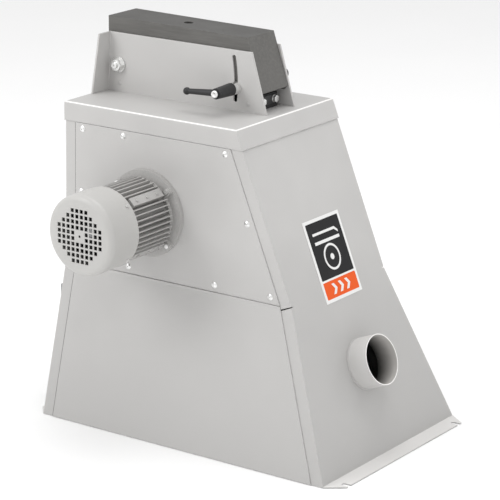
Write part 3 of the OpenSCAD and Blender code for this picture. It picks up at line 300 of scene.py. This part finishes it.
def rubber(name, colour):
    """Black rubber with a bloom of pale dust in its low spots."""
    m = Nodes(name)
    tint = m.span(m.noise(30.0, 6.0, 0.7), 0.0, 0.22, 0.5, 0.75)
    m.colour(m.mix(tint, colour, (0.16, 0.155, 0.15)))
    m.rough(m.span(m.noise(60.0, 3.0), 0.6, 0.82))
    m.bump(m.noise(1100.0, 3.0), 0.0001, 0.5, m.soft_edges(0.0006))
    return m.material


def cast(name, colour, rough=(0.5, 0.7), scale=420.0, pit=0.00022):
    """Sand or die casting: lumpy skin, darker in its pores."""
    m = Nodes(name)
    skin = m.noise(scale, 4.0, 0.6)
    m.colour(m.ramp(skin, [(0.32, tone(colour, 0.84)), (0.6, colour), (0.8, tone(colour, 1.1))]))
    m.rough(m.span(m.noise(50.0, 3.0), *rough))
    m.bump(skin, pit, 0.5, m.soft_edges(0.0011))
    return m.material


def grit(name):
    """Closed-coat abrasive cloth."""
    m = Nodes(name)
    cell = m.add("ShaderNodeTexVoronoi")
    cell.inputs["Scale"].default_value = 1500.0
    m.link(m.coords, cell.inputs["Vector"])
    m.colour(m.ramp(cell.outputs["Distance"],
                    [(0.1, (0.30, 0.15, 0.08)), (0.5, (0.17, 0.075, 0.04)),
                     (0.9, (0.05, 0.025, 0.015))]))
    m.rough(m.span(m.noise(80.0, 3.0), 0.6, 0.85))
    m.bump(cell.outputs["Distance"], 0.0004, 0.8)
    return m.material


def copper_stack(name):
    """Stacked core sheets with varnished copper at the ends."""
    m = Nodes(name)
    lines = m.noise(900.0, 1.0, 0.5, (0.02, 1.0, 0.02))
    m.colour(m.ramp(lines, [(0.35, (0.10, 0.09, 0.09)), (0.65, (0.34, 0.22, 0.14))]))
    m.rough(m.span(lines, 0.35, 0.6))
    m.bump(lines, 0.0002, 0.5)
    m.set(metal=0.8)
    return m.material


def printed(name, colour):
    """Screen-printed vinyl with faint scuffs."""
    m = Nodes(name)
    scuff = m.span(m.noise(90.0, 6.0, 0.7, (1, 1, 0.3)), 0.0, 0.10, 0.58, 0.72)
    m.colour(m.mix(scuff, colour, tuple(min(1.0, c + 0.12) for c in colour)))
    m.rough(m.span(m.noise(40.0, 4.0), 0.28, 0.42))
    m.bump(m.noise(700.0, 2.0), 0.00003, 0.3)
    m.set(spec=0.2)
    return m.material


CABINET = (0.520, 0.512, 0.502)
MOTOR = (0.47, 0.462, 0.450)
BUTTON_GLOSS = {"rough": (0.2, 0.35), "grain": 900.0, "pit": 0.00003, "spread": 0.08, "coat": 0.5}
finish = {
    # Cabinet: edges lightened as wear and painted highlight, painted highlight on bends, painted shade
    # on tops and towards the floor.
    "cabinet_paint": powder_coat("cabinet_paint", CABINET, edge_wear_and_highlight=(0.55, 0.9), round_r=0.0026,
                                 edge_tone=1.5, bend_highlight_tone=1.75, top_shade_tone=0.90, foot_shade_tone=0.84),
    "inner_sheet": turned_metal("inner_sheet", (0.55, 0.56, 0.57), (0.35, 0.6), 60.0, (1, 1, 1), 0.9),
    "label": printed("label", (0.82, 0.82, 0.81)),
    "zinc_steel": turned_metal("zinc_steel", (0.90, 0.90, 0.89), (0.22, 0.40), 300.0, (1, 1, 1),
                               tarnish=0.82),
    "bright_steel": turned_metal("bright_steel", (0.60, 0.61, 0.62)),
    "rubber": rubber("rubber", (0.022, 0.022, 0.022)),
    # Black steel: edges lightened as wear and painted highlight.
    "black_steel": powder_coat("black_steel", (0.03, 0.03, 0.03), rough=(0.35, 0.5), edge_tone=4.0),
    "cast_iron": cast("cast_iron", (0.11, 0.112, 0.115)),
    "motor_paint": cast("motor_paint", MOTOR, (0.4, 0.55), 520.0, 0.00014),
    "winding": copper_stack("winding"),
    "aluminium": turned_metal("aluminium", (0.76, 0.76, 0.77), (0.3, 0.5)),
    "abrasive": grit("abrasive"),
    # Hood: edges lightened as wear and painted highlight, painted shade on its top.
    "hood_paint": powder_coat("hood_paint", (0.125, 0.122, 0.116), 900.0, (0.40, 0.55), (0.1, 0.8),
                              0.0012, pit=0.00015, spread=0.10, edge_tone=2.4, streaks=0.35,
                              top_shade_tone=0.62),
    "black_plastic": moulded("black_plastic", (0.018, 0.018, 0.019)),
    "switch_grey": moulded("switch_grey", (0.30, 0.31, 0.31)),
    "green_plastic": moulded("green_plastic", (0.03, 0.34, 0.09), **BUTTON_GLOSS),
    "red_plastic": moulded("red_plastic", (0.50, 0.02, 0.015), **BUTTON_GLOSS),
}
fan_cover_paint = powder_coat("fan_cover_paint", (0.50, 0.493, 0.478), 1200.0, (0.34, 0.46),
                              (0.1, 0.5), 0.0014)


def spigot_coat(name):
    """The cabinet's paint outside the suction spigot; inside, painted light near the mouth fading to
    painted shade with depth.
    """
    m = Nodes(name)
    offset = m.vector("SUBTRACT", m.coords, right_face(SPIGOT_Y, SPIGOT_Z))
    height = m.vector("DOT_PRODUCT", offset, RIGHT_OUT)
    square = m.math("SUBTRACT", m.math("POWER", m.vector("LENGTH", offset), 2.0),
                    m.math("POWER", height, 2.0))
    inside = m.span(m.math("SQRT", m.math("ABSOLUTE", square)), 1.0, 0.0, 0.0484, 0.0488)
    depth = m.span(height, 1.0, 0.0, -0.005, 0.036)
    # Painted highlight on the spigot's rim.
    rim = m.span(height, 0.0, 1.0, 0.0432, 0.0437)
    paint = m.ramp(m.noise(5.0, 2.0), [(0.3, tone(CABINET, 1.16)), (0.7, tone(CABINET, 1.24))])
    # Painted light near the mouth fading to painted shade deep inside.
    tint = m.mix(depth, (0.62, 0.60, 0.575), (0.012, 0.0115, 0.011))
    body = m.mix(inside, paint, tint)
    m.colour(m.mix(rim, body, tone(CABINET, 1.7)))
    m.rough(m.span(m.noise(9.0, 4.0), 0.42, 0.58))
    m.bump(m.noise(1400.0, 2.0), 0.00012, 0.5, m.soft_edges(0.0008))
    m.set(spec=0.35)
    return m.material


node_finish = {"fan_cover": fan_cover_paint, "suction_nozzle": spigot_coat("spigot_paint")}
label_black = printed("label_black", (0.012, 0.012, 0.013))
label_white = printed("label_white", (0.80, 0.80, 0.79))
label_orange = printed("label_orange", (0.80, 0.105, 0.012))
weld_paint = powder_coat("weld_paint", tone(CABINET, 0.93), 900.0, pit=0.0003)

for part in frame["record"]["subparts"]:
    node = nodes[part["node"]]
    material = node_finish.get(part["node"], finish[part["material_slot"]])
    if not node.material_slots:
        node.data.materials.append(material)
    for place in node.material_slots:
        place.material = material

# ---- mesh helpers ----


def add_object(name, mesh, material, body, smooth=True):
    """Links the mesh as a piece that rides on a body."""
    mesh.materials.append(material)
    for face in mesh.polygons:
        face.use_smooth = smooth
    piece = bpy.data.objects.new(name, mesh)
    bpy.context.scene.collection.objects.link(piece)
    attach(piece, body)


def frame_of(origin, x, z):
    """Matrix whose X and Z axes are the given directions."""
    z = Vector(z).normalized()
    x = Vector(x)
    x = (x - z * x.dot(z)).normalized()
    y = z.cross(x)
    return Matrix.Translation(origin) @ Matrix((x, y, z)).transposed().to_4x4()


def solid_outline(name, outline, depth, place, material, body, bevel, holes=()):
    """Plate of any outline, z from 0 to depth in its own frame, with holes and softened edges."""
    bm = bmesh.new()
    loops = []
    for ring in (outline, *holes):
        verts = [bm.verts.new((x, y, 0.0)) for x, y in ring]
        loops += [bm.edges.new((verts[i], verts[(i + 1) % len(verts)])) for i in range(len(verts))]
    made = bmesh.ops.triangle_fill(bm, use_beauty=True, use_dissolve=False, edges=loops)
    faces = [f for f in made["geom"] if isinstance(f, bmesh.types.BMFace)]
    grown = bmesh.ops.extrude_face_region(bm, geom=faces)
    top = [v for v in grown["geom"] if isinstance(v, bmesh.types.BMVert)]
    bmesh.ops.translate(bm, vec=(0, 0, depth), verts=top)
    bmesh.ops.recalc_face_normals(bm, faces=bm.faces)
    if bevel:
        sharp = [e for e in bm.edges if len(e.link_faces) == 2 and e.calc_face_angle(0) > 1.0
                 and abs(e.verts[0].co.z - depth) < 1e-7 and abs(e.verts[1].co.z - depth) < 1e-7]
        bmesh.ops.bevel(bm, geom=sharp, offset=bevel, segments=2, affect="EDGES", profile=0.5)
    bm.transform(place)
    mesh = bpy.data.meshes.new(name)
    bm.to_mesh(mesh)
    bm.free()
    add_object(name, mesh, material, body, smooth=False)


def lathe(name, profile, place, material, body, steps, closed=False):
    """Revolves (radius, z) points about the frame's Z."""
    bm = bmesh.new()
    rings = []
    for r, z in profile:
        if r < 1e-6:
            rings.append([bm.verts.new((0, 0, z))])
        else:
            rings.append([bm.verts.new((r * math.cos(a), r * math.sin(a), z))
                          for a in (2 * math.pi * i / steps for i in range(steps))])
    pairs = list(zip(rings, rings[1:]))
    if closed:
        pairs.append((rings[-1], rings[0]))
    for low, high in pairs:
        for i in range(steps):
            j = (i + 1) % steps
            quad = [low[i % len(low)], low[j % len(low)], high[j % len(high)], high[i % len(high)]]
            face = list(dict.fromkeys(quad))
            if len(face) > 2:
                bm.faces.new(face)
    bmesh.ops.recalc_face_normals(bm, faces=bm.faces)
    bm.transform(place)
    mesh = bpy.data.meshes.new(name)
    bm.to_mesh(mesh)
    bm.free()
    add_object(name, mesh, material, body)


def weld_bead(name, points, radius, material, body, closed=False, sides=10, ripple=0.12):
    """Tube along points whose width ripples as a hand-laid weld does."""
    bm = bmesh.new()
    count = len(points)
    rings = []
    for i, point in enumerate(points):
        before = points[i - 1] if i or closed else points[0]
        after = points[(i + 1) % count] if i + 1 < count or closed else points[-1]
        along = (after - before).normalized()
        side = along.cross(Vector((0.31, 0.17, 0.93))).normalized()
        up = along.cross(side)
        size = radius * (1 + ripple * noise.noise(point * 420.0))
        rings.append([bm.verts.new(point + (side * math.cos(a) + up * math.sin(a)) * size)
                      for a in (2 * math.pi * k / sides for k in range(sides))])
    for i in range(count if closed else count - 1):
        low, high = rings[i], rings[(i + 1) % count]
        for k in range(sides):
            bm.faces.new((low[k], low[(k + 1) % sides], high[(k + 1) % sides], high[k]))
    if not closed:
        bm.faces.new(rings[0])
        bm.faces.new(rings[-1])
    bmesh.ops.recalc_face_normals(bm, faces=bm.faces)
    mesh = bpy.data.meshes.new(name)
    bm.to_mesh(mesh)
    bm.free()
    add_object(name, mesh, material, body)


def arc(cx, cy, r, a0, a1, steps):
    return [(cx + r * math.cos(math.radians(a0 + (a1 - a0) * i / steps)),
             cy + r * math.sin(math.radians(a0 + (a1 - a0) * i / steps))) for i in range(steps + 1)]


def rounded(x0, y0, x1, y1, r):
    """Rectangle with rounded corners."""
    steps = 6
    return (arc(x1 - r, y0 + r, r, -90, 0, steps) + arc(x1 - r, y1 - r, r, 0, 90, steps)
            + arc(x0 + r, y1 - r, r, 90, 180, steps) + arc(x0 + r, y0 + r, r, 180, 270, steps))


# ---- label on the slanted side ----
# u runs along +Y, v up the slope, from the plate's centre.

LABEL_Y, LABEL_Z, LABEL_W, LABEL_H, PLATE_T = 0.008, 0.362, 0.121, 0.162, 0.0008
label_frame = Matrix.Translation(right_face(LABEL_Y, LABEL_Z) + RIGHT_OUT * PLATE_T) @ Matrix(
    (Vector((0, 1, 0)), RIGHT_UP, RIGHT_OUT)).transposed().to_4x4()
BORDER = 0.0065
PRINT_T = 0.00025
STRIP_TOP = -LABEL_H / 2 + 0.040
half_w, half_h = LABEL_W / 2 - BORDER, LABEL_H / 2 - BORDER


def on_label(name, outline, material, lift=0.0, holes=()):
    place = label_frame @ Matrix.Translation((0, 0, lift))
    solid_outline(name, outline, PRINT_T, place, material, "cabinet", 0.00006, holes)


on_label("label_field", rounded(-half_w, STRIP_TOP + 0.004, half_w, half_h, 0.002), label_black)
on_label("label_strip", rounded(-half_w, -half_h, half_w, STRIP_TOP, 0.002), label_orange)
# Generic drawing: a sanding wheel under a bar of work.
on_label("label_wheel", arc(0.0, 0.001, 0.026, 0, 354, 59), label_white, PRINT_T,
         (arc(0.0, 0.001, 0.0215, 0, 354, 59),))
on_label("label_hub", arc(0.0, 0.001, 0.006, 0, 350, 35), label_white, PRINT_T)
on_label("label_work", rounded(-0.041, 0.031, 0.041, 0.037, 0.001), label_white, PRINT_T)
on_label("label_guard", [(-0.041, 0.049), (0.030, 0.049), (0.041, 0.041), (0.041, 0.046),
                         (0.032, 0.054), (-0.041, 0.054)], label_white, PRINT_T)
for i in range(3):
    x = -0.030 + 0.022 * i
    on_label(f"label_chevron_{i}", [(x, -0.068), (x + 0.008, -0.068), (x + 0.016, -0.0575),
                                    (x + 0.008, -0.047), (x, -0.047), (x + 0.008, -0.0575)],
             label_white, PRINT_T)

# ---- weld round the suction spigot ----

WELD_RING_R, WELD_LIFT, WELD_STEPS = 0.0508, 0.0006, 160
spigot_frame = frame_of(right_face(SPIGOT_Y, SPIGOT_Z), (0, 1, 0), RIGHT_OUT)
weld_bead("spigot_weld",
          [spigot_frame @ Vector((WELD_RING_R * math.cos(a), WELD_RING_R * math.sin(a), WELD_LIFT))
           for a in (2 * math.pi * i / WELD_STEPS for i in range(WELD_STEPS))],
          0.0016, weld_paint, "cabinet", closed=True)

# ---- small pieces on the head ----

front_lever, rear_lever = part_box("front_clamp_handle"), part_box("rear_clamp_handle")
stud_low, stud_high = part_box("front_clamp_stud")
stud_x, stud_z = (stud_low[0] + stud_high[0]) / 2, (stud_low[2] + stud_high[2]) / 2
CAP_SCREW = [(0.0, 0.0014), (0.0028, 0.0014), (0.0028, 0.0030), (0.0062, 0.0028), (0.0071, 0.0020),
             (0.0074, 0.0008), (0.0074, -0.0002)]
for side, y, out in (("front", front_lever[0][1], -1), ("rear", rear_lever[1][1], 1)):
    lathe(f"{side}_lever_button", CAP_SCREW, frame_of((stud_x, y, stud_z), (1, 0, 0), (0, out, 0)),
          finish["zinc_steel"], f"{side}_handle", 40)
TACK = [(0.0, 0.0011), (0.0016, 0.0010), (0.0032, 0.0006), (0.0042, 0.0), (0.0042, -0.0003)]
for name, x, z in (("cheek_tack_right", 0.0264, 0.6461), ("cheek_tack_left", -0.286, 0.6461)):
    lathe(name, TACK, frame_of((x, -0.035, z), (1, 0, 0), (0, -1, 0)), weld_paint, "cabinet",
          24)

# Seam of filler where the cheeks' feet meet the cap
SEAM_START, SEAM_STEP, SEAM_POINTS = -0.312, 0.004, 90
SEAM_R = 0.0009
for name, y in (("front_cheek_seam", -0.0352), ("rear_cheek_seam", 0.0612)):
    weld_bead(name, [Vector((SEAM_START + SEAM_STEP * i, y, BODY_H + 0.0002))
                     for i in range(SEAM_POINTS)],
              SEAM_R, weld_paint, "cabinet", sides=8)

# Dark rubber bead at the front panels' left edges: a painted shadow line standing in for the shade
# beside the panels' edges.
SHADOW_LINE_STEPS = 12
SHADOW_LINE_SHIFT = Vector((-0.0006, -0.0008, 0.0))
for name, low, high in (("upper_panel_shadow_line", KINK_H + 0.001, 0.5905),
                        ("lower_panel_shadow_line", 0.002, 0.3045)):
    weld_bead(name, [left_seam(low + (high - low) * i / SHADOW_LINE_STEPS) + SHADOW_LINE_SHIFT
                     for i in range(SHADOW_LINE_STEPS + 1)],
              SEAM_R, finish["rubber"], "cabinet", sides=8, ripple=0.05)

# ---- motor: terminal box gasket ----

box_low, box_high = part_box("terminal_box")


def gasket(name, x, y0, y1, z0, z1, width, thick):
    """Flat rubber frame in a plane of constant x."""
    place = Matrix.Translation((x, 0, 0)) @ Matrix(((0, 0, 1), (1, 0, 0), (0, 1, 0))).to_4x4()
    hole = rounded(y0 + width, z0 + width, y1 - width, z1 - width, 0.003)
    solid_outline(name, rounded(y0, z0, y1, z1, 0.004), thick, place, finish["rubber"], "cabinet",
                  0.0, (hole,))


GASKET_T, GASKET_W, GASKET_PROUD = 0.0012, 0.004, 0.0006
gasket("terminal_gasket", box_low[0] - GASKET_T, box_low[1] - GASKET_PROUD, box_high[1] + GASKET_PROUD,
       box_low[2] - GASKET_PROUD, box_high[2] + GASKET_PROUD, GASKET_W, GASKET_T)

# ---- switch: bezels round the push buttons ----

BEZEL = [(0.0133, -0.0004), (0.0133, 0.0014), (0.0139, 0.0022), (0.0152, 0.0022), (0.0166, 0.0012),
         (0.0170, -0.0004)]
switch_face_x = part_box("switch_box")[0][0]
for button in ("start_button", "stop_button"):
    low, high = (Vector(v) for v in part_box(button))
    middle = (low + high) / 2
    face = Vector((switch_face_x, middle.y, middle.z))
    lathe(f"{button}_bezel", BEZEL, frame_of(face, (0, 1, 0), LEFT_OUT), finish["zinc_steel"],
          "cabinet", 56, closed=True)

# ---- floor, light ----


def pale(name, colour, rough, glow):
    """Matt studio paper that glows a little, so that the ground goes white."""
    m = Nodes(name)
    m.shader.inputs["Emission Color"].default_value = (1.0, 1.0, 1.0, 1.0)
    m.shader.inputs["Emission Strength"].default_value = glow
    m.colour(m.ramp(m.noise(1.2, 2.0), [(0.3, tone(colour, 0.985)), (0.7, colour)]))
    m.rough(m.span(m.noise(3.0, 2.0), rough, rough + 0.1))
    return m.material


floor_mesh = bpy.data.meshes.new("studio_floor")
bm = bmesh.new()
bmesh.ops.create_grid(bm, x_segments=2, y_segments=2, size=14.0)
bm.to_mesh(floor_mesh)
bm.free()
floor_mesh.materials.append(pale("studio_floor", (0.93, 0.93, 0.93), 0.7, 0.045))
studio_floor = bpy.data.objects.new("studio_floor", floor_mesh)
studio_floor.location = (0, 0, -0.0005)
bpy.context.scene.collection.objects.link(studio_floor)

world = bpy.data.worlds.new("studio")
bpy.context.scene.world = world
world.use_nodes = True
world.node_tree.nodes["Background"].inputs["Color"].default_value = (1.0, 1.0, 1.0, 1.0)
world.node_tree.nodes["Background"].inputs["Strength"].default_value = 0.80


def soft_light(name, location, target, size, power):
    """Square area lamp aimed at a point; size in metres, power in watts."""
    data = bpy.data.lights.new(name, "AREA")
    data.shape = "SQUARE"
    data.size = size
    data.energy = power
    lamp = bpy.data.objects.new(name, data)
    lamp.location = location
    lamp.rotation_euler = (Vector(target) - Vector(location)).to_track_quat("-Z", "Y").to_euler()
    bpy.context.scene.collection.objects.link(lamp)


soft_light("key", (-2.2, -3.4, 3.2), (0, 0, 0.4), 2.2, 72)
soft_light("side", (1.5, -0.5, 2.3), (0.1, 0, 0.55), 1.2, 1.5)
soft_light("top", (0.2, 0.4, 3.8), (0, 0, 0.4), 2.4, 44)
soft_light("kicker", (1.9, -2.7, 2.9), (-0.1, -0.3, 0.45), 0.35, 4)
soft_light("rim", (1.8, 2.9, 2.2), (0.1, 0, 0.6), 0.6, 10)
bpy.context.scene.view_settings.view_transform = "Standard"
